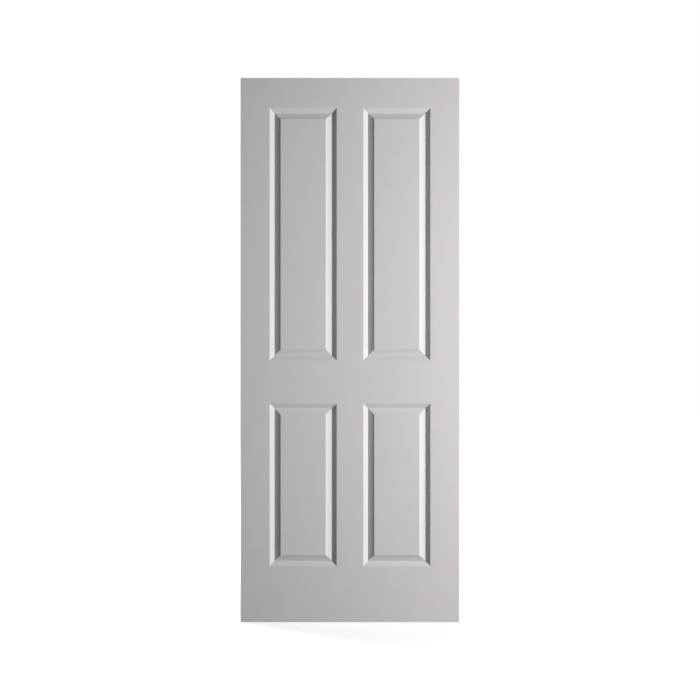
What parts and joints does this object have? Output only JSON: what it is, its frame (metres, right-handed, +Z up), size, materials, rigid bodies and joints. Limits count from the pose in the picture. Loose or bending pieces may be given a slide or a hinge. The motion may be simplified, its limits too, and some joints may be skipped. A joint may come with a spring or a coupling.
{
  "type": "panelled interior door",
  "caption": "Hollow-core interior door leaf with smooth primed skins; raised panels are pressed into both faces inside mitred mouldings. Hung on a long edge, it closes a doorway.",
  "frame": {"origin": "middle of the leaf's bottom edge", "axes": "+X across the width towards the right as seen from the front, +Y through the thickness towards the back face, +Z up the height"},
  "size_m": [0.82, 0.035, 2.04],
  "materials": {
    "primed_hardboard": "smooth pressed hardboard with a sprayed light grey primer",
    "softwood": "planed, unpainted pine",
    "kraft_paper": "expanded brown kraft paper",
    "staple_wire": "galvanised wire"
  },
  "bodies": {
    "root": {"front_skin": "primed_hardboard", "back_skin": "primed_hardboard", "left_stile": "softwood", "right_stile": "softwood", "top_rail": "softwood", "bottom_rail": "softwood", "left_lock_block": "softwood", "right_lock_block": "softwood", "honeycomb_core": "kraft_paper", "corner_staples": "staple_wire"}
  },
  "joints": []
}
